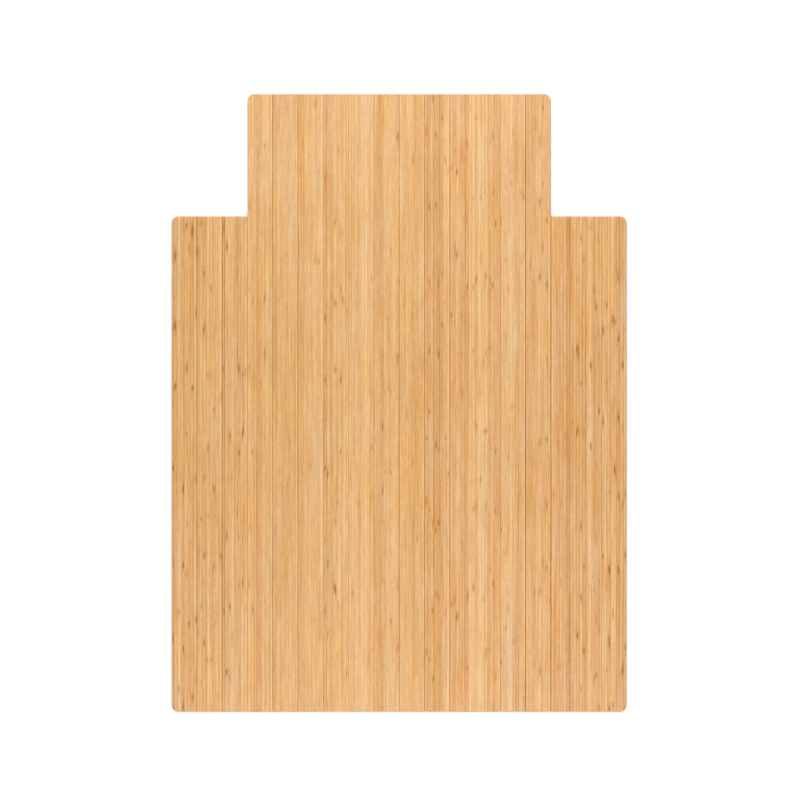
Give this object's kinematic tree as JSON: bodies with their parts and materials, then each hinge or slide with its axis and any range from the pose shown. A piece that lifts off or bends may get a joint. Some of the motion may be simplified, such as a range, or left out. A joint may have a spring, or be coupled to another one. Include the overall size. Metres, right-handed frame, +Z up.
{
  "type": "chair mat",
  "caption": "Flat roll-up floor mat of bamboo slats on a felt backing, with a narrower lip at the front, for a desk chair to roll on.",
  "frame": {"origin": "on the floor plane, below the middle of the mat's outline", "axes": "+Z up from the floor, X across the slats, +Y along the slats towards the lip"},
  "size_m": [0.9, 1.222, 0.008],
  "materials": {
    "bamboo": "satin",
    "felt": "matte"
  },
  "bodies": {
    "section_01": {"bamboo_slat_01": "bamboo", "felt_strip_01": "felt"},
    "section_02": {"bamboo_slat_02": "bamboo", "felt_strip_02": "felt"},
    "section_03": {"bamboo_slat_03": "bamboo", "felt_strip_03": "felt"},
    "section_04": {"bamboo_slat_04": "bamboo", "felt_strip_04": "felt"},
    "section_05": {"bamboo_slat_05": "bamboo", "felt_strip_05": "felt"},
    "section_06": {"bamboo_slat_06": "bamboo", "felt_strip_06": "felt"},
    "section_07": {"bamboo_slat_07": "bamboo", "felt_strip_07": "felt"},
    "section_08": {"bamboo_slat_08": "bamboo", "felt_strip_08": "felt"},
    "section_09": {"bamboo_slat_09": "bamboo", "felt_strip_09": "felt"},
    "section_10": {"bamboo_slat_10": "bamboo", "felt_strip_10": "felt"},
    "section_11": {"bamboo_slat_11": "bamboo", "felt_strip_11": "felt"},
    "section_12": {"bamboo_slat_12": "bamboo", "felt_strip_12": "felt"},
    "section_13": {"bamboo_slat_13": "bamboo", "felt_strip_13": "felt"},
    "section_14": {"bamboo_slat_14": "bamboo", "felt_strip_14": "felt"},
    "section_15": {"bamboo_slat_15": "bamboo", "felt_strip_15": "felt"},
    "section_16": {"bamboo_slat_16": "bamboo", "felt_strip_16": "felt"},
    "section_17": {"bamboo_slat_17": "bamboo", "felt_strip_17": "felt"},
    "section_18": {"bamboo_slat_18": "bamboo", "felt_strip_18": "felt"}
  },
  "joints": [
    {"name": "seam_01", "type": "hinge", "parent": "section_02", "child": "section_01", "pos_m": [-0.4, 0, 0.00075], "axis": [0, -1, 0], "range_deg": [-3, 36]},
    {"name": "seam_02", "type": "hinge", "parent": "section_03", "child": "section_02", "pos_m": [-0.35, 0, 0.00075], "axis": [0, -1, 0], "range_deg": [-3, 36.09]},
    {"name": "seam_03", "type": "hinge", "parent": "section_04", "child": "section_03", "pos_m": [-0.3, 0, 0.00075], "axis": [0, -1, 0], "range_deg": [-3, 36.38]},
    {"name": "seam_04", "type": "hinge", "parent": "section_05", "child": "section_04", "pos_m": [-0.25, 0, 0.00075], "axis": [0, -1, 0], "range_deg": [-3, 36.84]},
    {"name": "seam_05", "type": "hinge", "parent": "section_06", "child": "section_05", "pos_m": [-0.2, 0, 0.00075], "axis": [0, -1, 0], "range_deg": [-3, 37.5]},
    {"name": "seam_06", "type": "hinge", "parent": "section_07", "child": "section_06", "pos_m": [-0.15, 0, 0.00075], "axis": [0, -1, 0], "range_deg": [-3, 38.34]},
    {"name": "seam_07", "type": "hinge", "parent": "section_08", "child": "section_07", "pos_m": [-0.1, 0, 0.00075], "axis": [0, -1, 0], "range_deg": [-3, 39.38]},
    {"name": "seam_08", "type": "hinge", "parent": "section_09", "child": "section_08", "pos_m": [-0.05, 0, 0.00075], "axis": [0, -1, 0], "range_deg": [-3, 40.59]},
    {"name": "seam_09", "type": "hinge", "parent": "section_09", "child": "section_10", "pos_m": [0, 0, 0.00075], "axis": [0, 1, 0], "range_deg": [-3, 42]},
    {"name": "seam_10", "type": "hinge", "parent": "section_10", "child": "section_11", "pos_m": [0.05, 0, 0.00075], "axis": [0, 1, 0], "range_deg": [-3, 43.59]},
    {"name": "seam_11", "type": "hinge", "parent": "section_11", "child": "section_12", "pos_m": [0.1, 0, 0.00075], "axis": [0, 1, 0], "range_deg": [-3, 45.38]},
    {"name": "seam_12", "type": "hinge", "parent": "section_12", "child": "section_13", "pos_m": [0.15, 0, 0.00075], "axis": [0, 1, 0], "range_deg": [-3, 47.34]},
    {"name": "seam_13", "type": "hinge", "parent": "section_13", "child": "section_14", "pos_m": [0.2, 0, 0.00075], "axis": [0, 1, 0], "range_deg": [-3, 49.5]},
    {"name": "seam_14", "type": "hinge", "parent": "section_14", "child": "section_15", "pos_m": [0.25, 0, 0.00075], "axis": [0, 1, 0], "range_deg": [-3, 51.84]},
    {"name": "seam_15", "type": "hinge", "parent": "section_15", "child": "section_16", "pos_m": [0.3, 0, 0.00075], "axis": [0, 1, 0], "range_deg": [-3, 54.38]},
    {"name": "seam_16", "type": "hinge", "parent": "section_16", "child": "section_17", "pos_m": [0.35, 0, 0.00075], "axis": [0, 1, 0], "range_deg": [-3, 57.09]},
    {"name": "seam_17", "type": "hinge", "parent": "section_17", "child": "section_18", "pos_m": [0.4, 0, 0.00075], "axis": [0, 1, 0], "range_deg": [-3, 60]}
  ]
}
